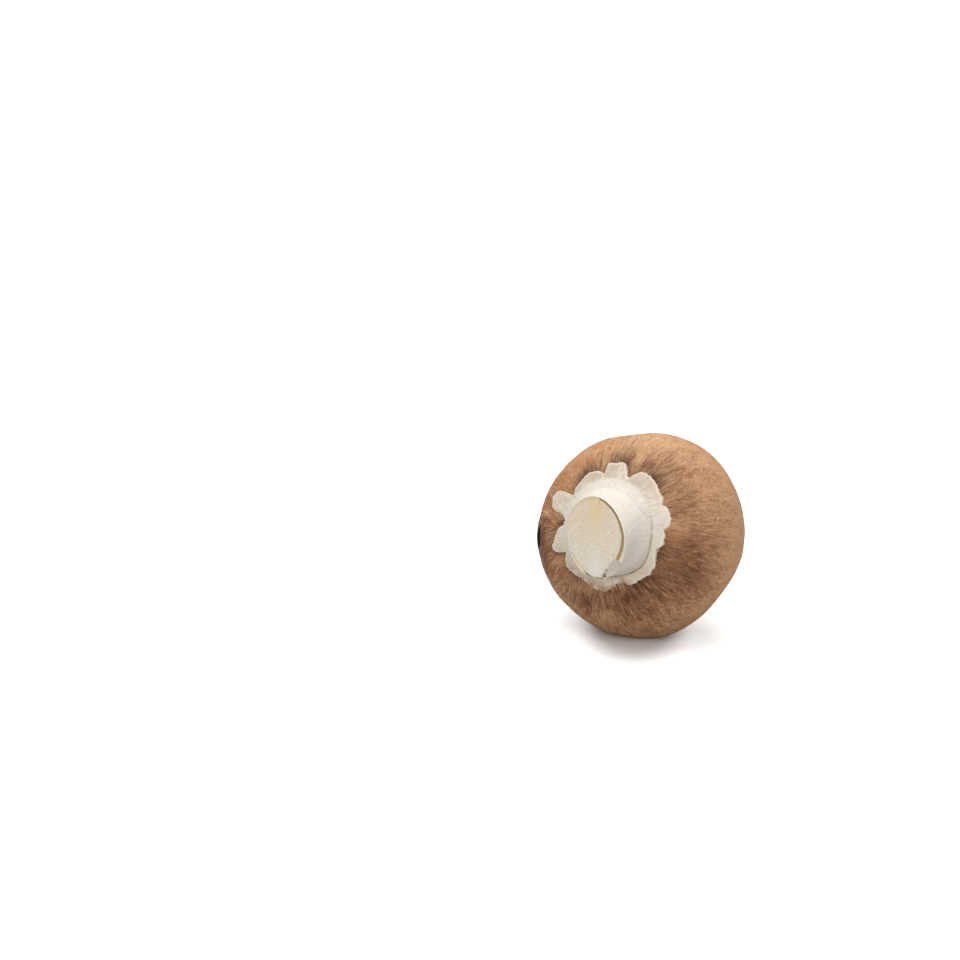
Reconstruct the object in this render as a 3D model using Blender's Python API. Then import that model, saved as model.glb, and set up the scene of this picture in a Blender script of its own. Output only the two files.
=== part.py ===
# A closed button mushroom with a brown skin, picked, cut and lying on the side of its cap.
# It is modelled upright, with the middle of the cap's widest circle at the origin and the stem
# pointing down, and an empty then lays it on its side. Angles round the cap run from local +X to +Y.

import bmesh
import bpy
import numpy as np
from math import pi, radians
from mathutils import Matrix, Vector

MM = 0.001

# Cap
CAP_RADIUS = 24.6 * MM
CAP_OVAL = 0.7 * MM
CAP_HEIGHT = 18.0 * MM
SHOULDER_FULLNESS = 0.06
SKIN_END = radians(148)

# Shallow lumps and hollows of the cap: angle round it, angle down from the top, height, spread
LUMPS = (
    (75, 79, 0.65 * MM, 13),
    (92, 86, 0.25 * MM, 10),
    (37, 71, -0.55 * MM, 14),
    (312, 81, 0.40 * MM, 18),
    (268, 97, -0.65 * MM, 12),
    (137, 100, -0.35 * MM, 14),
    (102, 64, 0.45 * MM, 17),
    (20, 28, -0.60 * MM, 20),
    (150, 40, 0.35 * MM, 24),
    (250, 45, -0.45 * MM, 18),
)

# Folded slit in the margin's skin: the ends of its line, its depth and half width, the ridge beside it
FOLD_START = (172, 117)
FOLD_END = (190, 118)
FOLD_DEPTH = 0.9 * MM
FOLD_HALF_WIDTH = 4.0
FOLD_RIDGE = 0.2 * MM
FOLD_RIDGE_OFFSET = 2.2
FOLD_SQUARENESS = 4

# Stem
ROOT_RADIUS = 10.95 * MM
ROOT_SHIFT = (0.4 * MM, 0.5 * MM)
ROOT_BULGE = 1.05 * MM
ROOT_BULGE_ANGLE = radians(48)
ROOT_BULGE_SPREAD = radians(22)
ROOT_LEVEL = -16.6 * MM
WAIST_RADIUS = 9.2 * MM
FLARE_LENGTH = 2.4 * MM
STEM_REACH = 7.7 * MM
STEM_LEAN = (1.2 * MM, 3.6 * MM)
STEM_SPARE = 0.85
PLUG_NECK = 1.0 * MM
PLUG_DEPTH = 1.8 * MM
PLUG_TAPER = 1.0 * MM
CUT_NORMAL = (-0.475, -0.02, -0.88)

# Veil
VEIL_THICKNESS = 0.7 * MM
VEIL_EDGE_THICKNESS = 0.5 * MM
VEIL_NOTCH_RADIUS = 12.6 * MM
VEIL_LEAST_WIDTH = 1.0 * MM
LOBE_SQUARENESS = 6
NOTCH_SQUARENESS = 4

# Lobes of the veil's edge: middle angle, half width, radius of the edge
LOBES = (
    (354, 10.5, 14.7 * MM),
    (15, 11.0, 14.0 * MM),
    (51, 23.0, 14.4 * MM),
    (94, 5.5, 14.0 * MM),
    (104, 2.8, 14.8 * MM),
    (116, 9.0, 13.7 * MM),
    (134, 9.0, 14.3 * MM),
    (165, 6.5, 15.4 * MM),
    (178, 7.5, 13.9 * MM),
    (201, 4.5, 15.0 * MM),
    (209, 7.5, 16.8 * MM),
    (240, 14.0, 13.5 * MM),
    (277, 10.5, 14.2 * MM),
    (320, 21.0, 14.6 * MM),
)

# Notches of the veil's edge: middle angle, half width, depth
NOTCHES = (
    (79, 4.5, 0.9 * MM),
    (151, 5.0, 0.5 * MM),
    (190, 4.0, 1.6 * MM),
    (222, 3.0, 1.4 * MM),
    (264, 4.0, 0.6 * MM),
    (296, 3.0, 0.5 * MM),
)

# Gap between pieces that grow together
GAP = 0.3 * MM

# Lying pose: heading and tilt of the dome's top, turn about the stem, flat worn into the cap's side
TOP_HEADING = radians(61)
TOP_TILT = radians(112)
TURN = radians(-102)
FLAT_DEPTH = 1.1 * MM

# Fineness of the meshes
CAP_SIDES = 84
CAP_RINGS = 34
VEIL_SIDES = 180
VEIL_STEPS = 3
STEM_SIDES = 72
STEM_RINGS = 10
STEM_RING_CROWDING = 1.4
SHARP_ANGLE = radians(40)
CUT_TOLERANCE = 1e-7


def angles(count):
    """Evenly spaced angles of a ring."""
    return np.arange(count) * 2 * pi / count


def away(angle, middle):
    """Signed angle from the middle, the short way round."""
    return (angle - middle + pi) % (2 * pi) - pi


def directions(angle, down):
    """Unit vectors at an angle round the cap and an angle down from its top."""
    return np.stack((np.cos(angle) * np.sin(down), np.sin(angle) * np.sin(down), np.cos(down)), axis=-1)


def lump_height(angle, down):
    """Height of the shallow lumps over the even dome."""
    toward = directions(angle, down)
    height = np.zeros(toward.shape[:-1])
    for round_deg, down_deg, peak, spread in LUMPS:
        middle = directions(radians(round_deg), radians(down_deg))
        apart = np.arccos(np.clip(toward @ middle, -1, 1))
        height += peak * np.exp(-((apart / radians(spread)) ** 2))
    return height


def fold_height(angle, down):
    """Depth of the folded slit, with the ridge on the side of the dome."""
    along_start, down_start = np.radians(FOLD_START)
    along_end, down_end = np.radians(FOLD_END)
    half = (along_end - along_start) / 2
    along = away(angle, along_start + half) / half
    fade = np.exp(-(along ** FOLD_SQUARENESS))
    line = (down_start + down_end) / 2 + (down_end - down_start) / 2 * along
    across = (down - line) / radians(FOLD_HALF_WIDTH)
    slit = -FOLD_DEPTH * np.exp(-(across ** 2))
    ridge = FOLD_RIDGE * np.exp(-((across + FOLD_RIDGE_OFFSET) ** 2))
    return fade * (slit + ridge)


def skin(angle, down, lift=0.0):
    """Point on the cap: an oval dome, fuller at the shoulder, with its lumps, lifted off by a distance."""
    angle, down = np.broadcast_arrays(angle, down)
    radius = CAP_RADIUS + CAP_OVAL * np.cos(2 * angle)
    fullness = 1 + SHOULDER_FULLNESS * np.sin(down) ** 2 * (np.cos(down) > 0)
    x = radius * np.sin(down) * np.cos(angle)
    y = radius * np.sin(down) * np.sin(angle)
    z = CAP_HEIGHT * np.cos(down) * fullness
    point = np.stack((x, y, z), axis=-1)
    normal = directions(angle, down) / np.array((CAP_RADIUS, CAP_RADIUS, CAP_HEIGHT))
    normal /= np.linalg.norm(normal, axis=-1, keepdims=True)
    raised = lump_height(angle, down) + fold_height(angle, down) + lift
    return point + normal * raised[..., None]


def under_skin(angle, radius, lift=0.0):
    """Point on the cap's underside at a distance from its axis."""
    cap_radius = CAP_RADIUS + CAP_OVAL * np.cos(2 * angle)
    return skin(angle, pi - np.arcsin(radius / cap_radius), lift)


def root_radius(angle):
    """Distance from the cap's axis to the stem's root, which is off centre and bulges on one side."""
    bulge = ROOT_BULGE * np.exp(-((away(angle, ROOT_BULGE_ANGLE) / ROOT_BULGE_SPREAD) ** 2))
    shift = ROOT_SHIFT[0] * np.cos(angle) + ROOT_SHIFT[1] * np.sin(angle)
    return ROOT_RADIUS + shift + bulge


def veil_edge(angle):
    """Distance from the cap's axis to the veil's torn edge."""
    edge = np.full(angle.shape, VEIL_NOTCH_RADIUS)
    for middle, half_width, radius in LOBES:
        apart = away(angle, radians(middle)) / radians(half_width)
        lobe = np.exp(-(apart ** LOBE_SQUARENESS))
        edge = np.maximum(edge, VEIL_NOTCH_RADIUS + (radius - VEIL_NOTCH_RADIUS) * lobe)
    for middle, half_width, depth in NOTCHES:
        apart = away(angle, radians(middle)) / radians(half_width)
        edge = edge - depth * np.exp(-(apart ** NOTCH_SQUARENESS))
    return np.maximum(edge, root_radius(angle) + GAP + VEIL_LEAST_WIDTH)


def circle(angle, radius, height):
    """Ring of points at a radius, which may change round the ring, at one height."""
    level = np.full(angle.shape, height)
    return np.stack((radius * np.cos(angle), radius * np.sin(angle), level), axis=-1)


def loft(rings, closed=False):
    """Walls between rings of points, each bridged to the next, with the ends closed by fans or joined."""
    mesh = bmesh.new()
    loops = []
    for ring in rings:
        verts = [mesh.verts.new(point) for point in ring]
        pairs = zip(verts, verts[1:] + verts[:1])
        loops.append([mesh.edges.new(pair) for pair in pairs])
    followers = loops[1:] + loops[:1] if closed else loops[1:]
    for first, second in zip(loops, followers):
        bmesh.ops.bridge_loops(mesh, edges=first + second)
    if not closed:
        for loop in (loops[0], loops[-1]):
            end = bmesh.ops.contextual_create(mesh, geom=loop)["faces"]
            bmesh.ops.poke(mesh, faces=end)
    bmesh.ops.recalc_face_normals(mesh, faces=mesh.faces)
    return mesh


def slice_off(mesh, point, normal):
    """Cut away what lies beyond a plane, and close the cut with one flat face, which is returned."""
    geometry = mesh.verts[:] + mesh.edges[:] + mesh.faces[:]
    cut = bmesh.ops.bisect_plane(mesh, geom=geometry, dist=CUT_TOLERANCE, plane_co=point,
                                 plane_no=normal, clear_outer=True)["geom_cut"]
    rim = [item for item in cut if isinstance(item, bmesh.types.BMEdge)]
    face = bmesh.ops.contextual_create(mesh, geom=rim)["faces"][0]
    bmesh.ops.recalc_face_normals(mesh, faces=mesh.faces)
    return face


def material(name, colour, roughness):
    """Plain matte material of one colour."""
    result = bpy.data.materials.new(name)
    result.use_nodes = True
    shader = result.node_tree.nodes["Principled BSDF"]
    shader.inputs["Base Color"].default_value = (*colour, 1.0)
    shader.inputs["Roughness"].default_value = roughness
    shader.inputs["Metallic"].default_value = 0.0
    return result


def add_piece(name, mesh, finish, parent):
    """Object made from a bmesh, shaded smooth except at its cuts, carried by the parent."""
    data = bpy.data.meshes.new(name)
    mesh.to_mesh(data)
    mesh.free()
    data.shade_smooth()
    data.set_sharp_from_angle(angle=SHARP_ANGLE)
    data.materials.append(finish)
    piece = bpy.data.objects.new(name, data)
    piece.parent = parent
    bpy.context.collection.objects.link(piece)
    return piece


def cap_mesh():
    """Skin from the top to the underside, then the tapered socket that the stem's root fills."""
    angle = angles(CAP_SIDES)
    rings = [skin(angle, down) for down in np.linspace(0, SKIN_END, CAP_RINGS + 1)[1:]]
    mouth = root_radius(angle) + GAP
    rings.append(under_skin(angle, mouth))
    rings.append(circle(angle, mouth - PLUG_TAPER, ROOT_LEVEL + PLUG_NECK + PLUG_DEPTH + GAP))
    return loft(rings)


def veil_mesh():
    """Thin ring over the underside, from the stem's root out to the lobed edge."""
    angle = angles(VEIL_SIDES)
    inner = root_radius(angle) + GAP
    edge = veil_edge(angle)
    steps = np.linspace(0, 1, VEIL_STEPS + 1)
    outside = []
    inside = []
    for step in steps:
        radius = inner + (edge - inner) * step
        thickness = VEIL_THICKNESS + (VEIL_EDGE_THICKNESS - VEIL_THICKNESS) * step
        outside.append(under_skin(angle, radius, GAP + thickness))
        inside.append(under_skin(angle, radius, GAP))
    return loft(outside + inside[::-1], closed=True)


def stem_ring(angle, along):
    """Ring of the stem, from its root at 0 to the middle of its cut at 1."""
    flare = np.exp(-along * STEM_REACH / FLARE_LENGTH)
    radius = WAIST_RADIUS + (root_radius(angle) - WAIST_RADIUS) * flare
    ring = circle(angle, radius, ROOT_LEVEL - along * STEM_REACH)
    ring[:, 0] += STEM_LEAN[0] * along
    ring[:, 1] += STEM_LEAN[1] * along
    return ring


def stem_mesh():
    """Tapered plug in the cap, flared root and leaning stem, cut off at a slant."""
    angle = angles(STEM_SIDES)
    root = root_radius(angle)
    rings = [circle(angle, root - PLUG_TAPER, ROOT_LEVEL + PLUG_NECK + PLUG_DEPTH)]
    rings.append(circle(angle, root, ROOT_LEVEL + PLUG_NECK))
    for along in np.linspace(0, 1, STEM_RINGS + 1) ** STEM_RING_CROWDING * (1 + STEM_SPARE):
        rings.append(stem_ring(angle, along))
    mesh = loft(rings)
    cut_middle = Vector((STEM_LEAN[0], STEM_LEAN[1], ROOT_LEVEL - STEM_REACH))
    slice_off(mesh, cut_middle, Vector(CUT_NORMAL))
    return mesh


def build():
    """The three pieces, laid on the side of the cap with the flat spot's middle at the world origin."""
    for old in list(bpy.data.objects):
        bpy.data.objects.remove(old, do_unlink=True)

    lie = Matrix.Rotation(TOP_HEADING, 3, "Z")
    lie = lie @ Matrix.Rotation(TOP_TILT, 3, "Y") @ Matrix.Rotation(TURN, 3, "Z")
    to_floor = lie.transposed() @ Vector((0, 0, -1))

    cap = cap_mesh()
    lowest = max(vert.co.dot(to_floor) for vert in cap.verts)
    flat = slice_off(cap, to_floor * (lowest - FLAT_DEPTH), to_floor)
    rest = flat.calc_center_median_weighted()

    pose = bpy.data.objects.new("lying_pose", None)
    pose.rotation_euler = lie.to_euler()
    pose.location = -(lie @ rest)
    bpy.context.collection.objects.link(pose)

    add_piece("cap", cap, material("brown_skin", (0.42, 0.25, 0.14), 0.62), pose)
    add_piece("veil", veil_mesh(), material("cream_membrane", (0.72, 0.63, 0.50), 0.75), pose)
    add_piece("stem", stem_mesh(), material("white_flesh", (0.82, 0.76, 0.67), 0.70), pose)
    bpy.context.view_layer.update()


build()
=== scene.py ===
from math import pi, radians

import bpy
import numpy as np
from mathutils import Matrix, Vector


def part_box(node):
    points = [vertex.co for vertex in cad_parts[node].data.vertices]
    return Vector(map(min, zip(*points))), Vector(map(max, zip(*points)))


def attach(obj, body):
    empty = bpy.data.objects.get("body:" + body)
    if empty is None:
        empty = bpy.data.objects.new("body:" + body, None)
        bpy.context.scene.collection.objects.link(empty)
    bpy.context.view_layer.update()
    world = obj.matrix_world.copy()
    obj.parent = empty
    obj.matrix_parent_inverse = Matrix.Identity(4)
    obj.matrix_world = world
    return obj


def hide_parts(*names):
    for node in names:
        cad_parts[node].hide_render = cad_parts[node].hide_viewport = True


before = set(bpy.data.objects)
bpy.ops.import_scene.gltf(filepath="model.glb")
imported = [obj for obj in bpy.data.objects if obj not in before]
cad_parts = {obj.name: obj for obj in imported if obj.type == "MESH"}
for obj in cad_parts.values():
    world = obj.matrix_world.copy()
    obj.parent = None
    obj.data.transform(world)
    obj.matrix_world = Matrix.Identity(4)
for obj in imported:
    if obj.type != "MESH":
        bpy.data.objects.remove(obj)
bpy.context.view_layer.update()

# A closed brown button mushroom, cut and lying on the side of its cap.
# Shapes are worked out upright in millimetres, round the middle of the cap's widest circle with the
# stem pointing down, then turned to lie and moved to where the frame has them.
# "Round" is the angle round the cap from local +X to +Y, "down" is the angle down from its top.

mm = 0.001
body = "root"

form = {  # the solids' own sizes: millimetres and degrees
    "capRadius": 24.6, "capOval": 0.7, "capHeight": 18.0, "shoulder": 0.06, "skinEnd": 148,
    "rootRadius": 10.95, "rootShift": (0.4, 0.5), "rootBulge": 1.05, "bulgeRound": 48, "bulgeSpread": 22,
    "rootLevel": -16.6, "waistRadius": 9.2, "flareLength": 2.4, "stemReach": 7.7, "lean": (1.2, 3.6),
    "plugNeck": 1.0, "plugDepth": 1.8, "plugTaper": 1.0, "cutNormal": (-0.475, -0.02, -0.88), "gap": 0.3,
    "heading": 61, "tilt": 112, "turn": -102,
    "solidSides": 84, "solidRings": 34,
    "lumps": [  # round, down, height, spread
        (75, 79, 0.65, 13), (92, 86, 0.25, 10), (37, 71, -0.55, 14), (312, 81, 0.4, 18),
        (268, 97, -0.65, 12), (137, 100, -0.35, 14), (102, 64, 0.45, 17), (20, 28, -0.6, 20),
        (150, 40, 0.35, 24), (250, 45, -0.45, 18),
    ],
    "foldStart": (172, 117), "foldEnd": (190, 118), "foldDepth": 0.9, "foldHalfWidth": 4.0,
    "foldRidge": 0.2, "foldRidgeOffset": 2.2, "foldSquareness": 4,
}
meridian = (form["capRadius"] + form["capHeight"]) / 2  # millimetres for each radian down the cap


# Shared sums

def unit(vector):
    # the vector over its own length
    return vector / np.linalg.norm(vector, axis=-1, keepdims=True)


def away(angle, middle):
    # signed angle from the middle, the short way round
    return (angle - middle + pi) % (2 * pi) - pi


def ease(value, low, high):
    # 0 below low, 1 above high, and an S-curve between
    t = np.clip((value - low) / (high - low), 0, 1)
    return t * t * (3 - 2 * t)


def bell(distance, width, power=2):
    # e to the minus (distance / width) to a power
    return np.exp(-(np.abs(distance / width) ** power))


def roundBell(angle, middle, spread):
    # the same round the cap, from a middle and with a spread in degrees
    return bell(away(angle, radians(middle)), radians(spread))


def shareRound(angle, rows):
    # the greatest of some bell curves round the cap: middle, height and spread
    return np.max([height * roundBell(angle, middle, spread) for middle, height, spread in rows], axis=0)


def ringAngles(count):
    # angles evenly round a circle, from 0
    return np.arange(count) * 2 * pi / count


def sideways(angle, shift):
    # how far a shift of the middle moves the side at an angle outwards
    return shift[0] * np.cos(angle) + shift[1] * np.sin(angle)


def polar(radius, angle, height):
    # point at a distance from the axis, an angle round it and a height
    return np.stack(np.broadcast_arrays(radius * np.cos(angle), radius * np.sin(angle), height), axis=-1)


def toward(angle, down):
    # unit vector at an angle round the cap and an angle down from its top
    return polar(np.sin(down), angle, np.cos(down))


def cloud(place, seed):
    # soft random heights from -1 to 1: random numbers at the corners of a lattice of unit cells,
    # blended with an S-curve between the eight corners round each point
    cells = 48
    lattice = np.random.default_rng(seed).uniform(-1, 1, (cells, cells, cells))
    corner = np.floor(place).astype(int)
    part = ease(place - corner, 0, 1)
    total = np.zeros(place.shape[:-1])
    for step in np.ndindex(2, 2, 2):
        at = (corner + step) % cells
        weight = np.prod(np.where(step, part, 1 - part), axis=-1)
        total += weight * lattice[tuple(np.moveaxis(at, -1, 0))]
    return total


def waves(place, rows):
    # sum of soft random heights, each row with its height, its size and its seed
    return sum(height * cloud(place / np.array(size), seed) for height, size, seed in rows)


def patches(place, size, seed, low, high):
    # 0 where soft random heights of a size are under low, 1 where they are over high
    return ease(cloud(place / size, seed), low, high)


def spots(angle, down, rows):
    # sum of round bumps: height times exp(-(angle from the bump's middle / spread) squared)
    direction = toward(angle, down)
    total = np.zeros(direction.shape[:-1])
    for roundDeg, downDeg, height, spread in rows:
        cosine = direction @ toward(radians(roundDeg), radians(downDeg))
        total += height * bell(np.arccos(np.clip(cosine, -1, 1)), radians(spread))
    return total


# The lying pose

def turnAbout(axis, degrees):
    # matrix of a turn about one axis
    return np.array(Matrix.Rotation(radians(degrees), 3, axis))


lie = turnAbout("Z", form["heading"]) @ turnAbout("Y", form["tilt"]) @ turnAbout("Z", form["turn"])


# The plain cap, as the solid has it

def foldHeight(angle, down):
    # a slit and the ridge beside it, both bell curves across a line, fading at the line's ends:
    # along runs from -1 to 1 on the line, and across is counted in half widths from it
    (startRound, startDown), (endRound, endDown) = np.radians((form["foldStart"], form["foldEnd"]))
    half = (endRound - startRound) / 2
    along = away(angle, startRound + half) / half
    line = (startDown + endDown) / 2 + (endDown - startDown) / 2 * along
    across = (down - line) / radians(form["foldHalfWidth"])
    ridge = form["foldRidge"] * bell(across + form["foldRidgeOffset"], 1)
    return bell(along, 1, form["foldSquareness"]) * (ridge - form["foldDepth"] * bell(across, 1))


def capRadiusAt(angle):
    # an oval: the radius plus a share of the cosine of twice the angle
    return form["capRadius"] + form["capOval"] * np.cos(2 * angle)


def capNormal(angle, down):
    # out of the plain dome: the direction from its middle, each part over the dome's radius that way
    return unit(toward(angle, down) / np.array((form["capRadius"], form["capRadius"], form["capHeight"])))


def capPoint(angle, down, lift=0.0):
    # an oval dome: radius R by height H as sphere coordinates, fuller at the shoulder by a share of
    # sin squared, then lifted along its normal by the lumps, the fold and the given distance
    angle, down = np.broadcast_arrays(angle, down)
    full = 1 + form["shoulder"] * np.sin(down) ** 2 * (np.cos(down) > 0)
    point = polar(capRadiusAt(angle) * np.sin(down), angle, form["capHeight"] * np.cos(down) * full)
    raised = spots(angle, down, form["lumps"]) + foldHeight(angle, down) + lift
    return point + capNormal(angle, down) * raised[..., None]


def downAtRadius(angle, radius):
    # angle down to the point of the underside that is this far from the axis
    return pi - np.arcsin(np.clip(radius / capRadiusAt(angle), 0, 1))


def findMiddle():
    # the cap's middle in the row frame: the highest corner of the CAD cap's box, less the highest
    # corner of the same dome worked out here and turned to lie
    rings = np.linspace(0, radians(form["skinEnd"]), form["solidRings"] + 1)[1:]
    dome = capPoint(ringAngles(form["solidSides"])[None, :], rings[:, None]) @ lie.T
    return np.array(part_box("cap")[1]) - dome.reshape(-1, 3).max(axis=0) * mm


middle = findMiddle()
print("frame loaded, cap middle at", np.round(middle, 5))


# Meshes from grids

def wrapFaces(rows, columns, first=0, closeRows=False):
    # four-sided faces of a grid that closes round its columns, and round its rows if asked
    row = np.arange(rows if closeRows else rows - 1)[:, None]
    column = np.arange(columns)[None, :]
    nextRow = (row + 1) % rows
    nextColumn = (column + 1) % columns
    corners = (row * columns + column, nextRow * columns + column,
               nextRow * columns + nextColumn, row * columns + nextColumn)
    return np.stack(np.broadcast_arrays(*corners), axis=-1).reshape(-1, 4) + first


def tubeFaces(rows, columns, first=0):
    # a grid that closes round its columns, with its two ends drawn in to the two points after it
    tip = first + rows * columns
    start = first + np.arange(columns)
    end = start + (rows - 1) * columns
    fans = ((start, np.roll(start, -1), tip), (np.roll(end, -1), end, tip + 1))
    fans = [np.stack(np.broadcast_arrays(*fan), axis=-1) for fan in fans]
    return [wrapFaces(rows, columns, first), *fans]


def signedVolume(points, faceSets):
    # six times the volume: the sum over the triangles of a . (b x c)
    total = 0.0
    for faces in faceSets:
        for second in range(1, faces.shape[1] - 1):
            a, b, c = points[faces[:, 0]], points[faces[:, second]], points[faces[:, second + 1]]
            total += np.einsum("ij,ij->i", a, np.cross(b, c)).sum()
    return total


def addObject(name, data):
    # a new object with this mesh, lamp or camera, in the scene
    made = bpy.data.objects.new(name, data)
    bpy.context.scene.collection.objects.link(made)
    return made


def makePiece(name, points, faceSets, fields, material, replaced=()):
    # turns the upright points to lie, points every face outwards, and keeps the fields on the vertices
    world = points @ lie.T * mm + middle
    if signedVolume(points, faceSets) < 0:
        faceSets = [faces[:, ::-1] for faces in faceSets]
    corners = np.concatenate([faces.ravel() for faces in faceSets])
    sizes = np.concatenate([np.full(len(faces), faces.shape[1]) for faces in faceSets])
    mesh = bpy.data.meshes.new(name)
    mesh.vertices.add(len(world))
    mesh.vertices.foreach_set("co", world.astype(np.float32).ravel())
    mesh.loops.add(len(corners))
    mesh.loops.foreach_set("vertex_index", corners.astype(np.int32))
    mesh.polygons.add(len(sizes))
    mesh.polygons.foreach_set("loop_start", (np.cumsum(sizes) - sizes).astype(np.int32))
    mesh.update(calc_edges=True)
    mesh.validate()
    for label, values in fields.items():
        values = values.astype(np.float32).reshape(len(world), -1)
        kind, key = ("FLOAT_VECTOR", "vector") if values.shape[1] == 3 else ("FLOAT", "value")
        mesh.attributes.new(label, kind, "POINT").data.foreach_set(key, values.ravel())
    mesh.shade_smooth()
    mesh.materials.append(material)
    piece = addObject(name, mesh)
    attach(piece, body)
    if replaced:
        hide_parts(*replaced)
    print("made", name, "with", int((sizes - 2).sum()), "triangles")


# Shader helpers

class Value:
    # a node's output that adds, subtracts and multiplies as a number does, by Math nodes
    def __init__(self, socket):
        self.socket = socket

    def math(self, operation, other):
        # one Math node, with this output and another one or a number
        tree = self.socket.id_data
        return Value(addNode(tree, "ShaderNodeMath", {0: self, 1: other}, operation=operation).outputs[0])

    def __add__(self, other):
        return self.math("ADD", other)

    def __sub__(self, other):
        return self.math("SUBTRACT", other)

    def __mul__(self, other):
        return self.math("MULTIPLY", other)

    def eased(self, low, high, start=0.0, end=1.0):
        # from start at low to end at high, along an S-curve
        inputs = {"Value": self, "From Min": low, "From Max": high, "To Min": start, "To Max": end}
        made = addNode(self.socket.id_data, "ShaderNodeMapRange", inputs, interpolation_type="SMOOTHSTEP")
        return Value(made.outputs[0])


def give(socket, value):
    # links the socket to a node's output, or sets its number, its vector or its colour
    if isinstance(value, Value):
        value = value.socket
    if isinstance(value, bpy.types.NodeSocket):
        socket.id_data.links.new(value, socket)
    else:
        socket.default_value = (*value, 1.0) if socket.type == "RGBA" else value


def addNode(tree, kind, inputs=None, **settings):
    # a node with its settings made first, then its inputs
    made = tree.nodes.new(kind)
    for key, value in settings.items():
        setattr(made, key, value)
    for key, value in (inputs or {}).items():
        give(made.inputs[key], value)
    return made


def newGroup(name, inputs, outputs):
    # inputs have their usual numbers, or None for a vector, and all outputs are numbers
    group = bpy.data.node_groups.new(name, "ShaderNodeTree")
    for label, value in inputs.items():
        kind = "NodeSocketVector" if value is None else "NodeSocketFloat"
        socket = group.interface.new_socket(name=label, in_out="INPUT", socket_type=kind)
        if value is not None:
            socket.default_value = value
    for label in outputs:
        group.interface.new_socket(name=label, in_out="OUTPUT", socket_type="NodeSocketFloat")
    return group, group.nodes.new("NodeGroupInput").outputs, group.nodes.new("NodeGroupOutput").inputs


def useGroup(tree, group, **inputs):
    # a node of the group, as its outputs by name
    outputs = addNode(tree, "ShaderNodeGroup", inputs, node_tree=group).outputs
    return {output.name: Value(output) for output in outputs}


def mixColour(tree, share, first, second):
    # the first colour at share 0, the second at share 1
    return addNode(tree, "ShaderNodeMix", {0: share, 6: first, 7: second}, data_type="RGBA").outputs[2]


def layered(tree, look, first, layers):
    # the look's colours laid in turn over a first one, each by its share
    colour = look[first]
    for name, share in layers:
        colour = mixColour(tree, share, colour, look[name])
    return colour


def field(tree, name, output="Fac"):
    # what a mesh keeps on its vertices under a name
    return Value(addNode(tree, "ShaderNodeAttribute", attribute_name=name).outputs[output])


def vectorNode(tree, operation, first, second):
    # a sum, product or quotient of two vectors, part by part
    return addNode(tree, "ShaderNodeVectorMath", {0: first, 1: second}, operation=operation).outputs[0]


def noise(tree, place, **inputs):
    # noise from 0 to 1, mostly near 0.5
    return Value(addNode(tree, "ShaderNodeTexNoise", {"Vector": place, **inputs}).outputs["Fac"])


def newMaterial(name, look):
    # a Principled material that takes the look's own shader values
    material = bpy.data.materials.new(name)
    material.use_nodes = True
    tree = material.node_tree
    for label, value in look["shader"].items():
        tree.nodes["Principled BSDF"].inputs[label].default_value = value
    return material, tree


def finishMaterial(tree, colour, roughness, height, bump):
    # colour, roughness and fine relief go to the shader, the relief with its strength and depth
    inputs = tree.nodes["Principled BSDF"].inputs
    relief = {"Height": height, "Strength": bump[0], "Distance": bump[1] * mm}
    give(inputs["Base Color"], colour)
    give(inputs["Roughness"], roughness)
    give(inputs["Normal"], addNode(tree, "ShaderNodeBump", relief).outputs[0])


def strandsGroup():
    # fibres along the third number of Place: noise stretched along it, coarse and fine
    group, given, end = newGroup("strands", {"Place": None, "Width": 0.4, "Length": 4.0, "Seed": 0.0},
                                 ["Coarse", "Fine"])
    sizes = {"X": given["Width"], "Y": given["Width"], "Z": given["Length"]}
    stretch = addNode(group, "ShaderNodeCombineXYZ", sizes).outputs[0]
    place = vectorNode(group, "ADD", vectorNode(group, "DIVIDE", given["Place"], stretch), given["Seed"])
    for label, scale in (("Coarse", 0.45), ("Fine", 1.3)):
        give(end[label], noise(group, place, Scale=scale, Detail=2.0, Roughness=0.6))
    return group


def mottleGroup():
    # cloudy patches and small specks on Object coordinates, in millimetres
    group, given, end = newGroup("mottle", {"Size": 3.0, "Speck": 0.5, "Seed": 0.0},
                                 ["Patches", "Grain", "Specks"])
    place = addNode(group, "ShaderNodeTexCoord").outputs["Object"]
    place = vectorNode(group, "ADD", vectorNode(group, "MULTIPLY", place, (1 / mm,) * 3), given["Seed"])
    wide, fine = [vectorNode(group, "DIVIDE", place, given[label]) for label in ("Size", "Speck")]
    give(end["Patches"], noise(group, wide, Scale=1.0, Detail=3.0, Roughness=0.55, Distortion=0.4))
    grain = noise(group, fine, Scale=1.0, Detail=2.0, Roughness=0.6)
    give(end["Grain"], grain)
    give(end["Specks"], grain.eased(0.64, 0.74))
    return group


strands = strandsGroup()
mottle = mottleGroup()


# Brown skin

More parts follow.
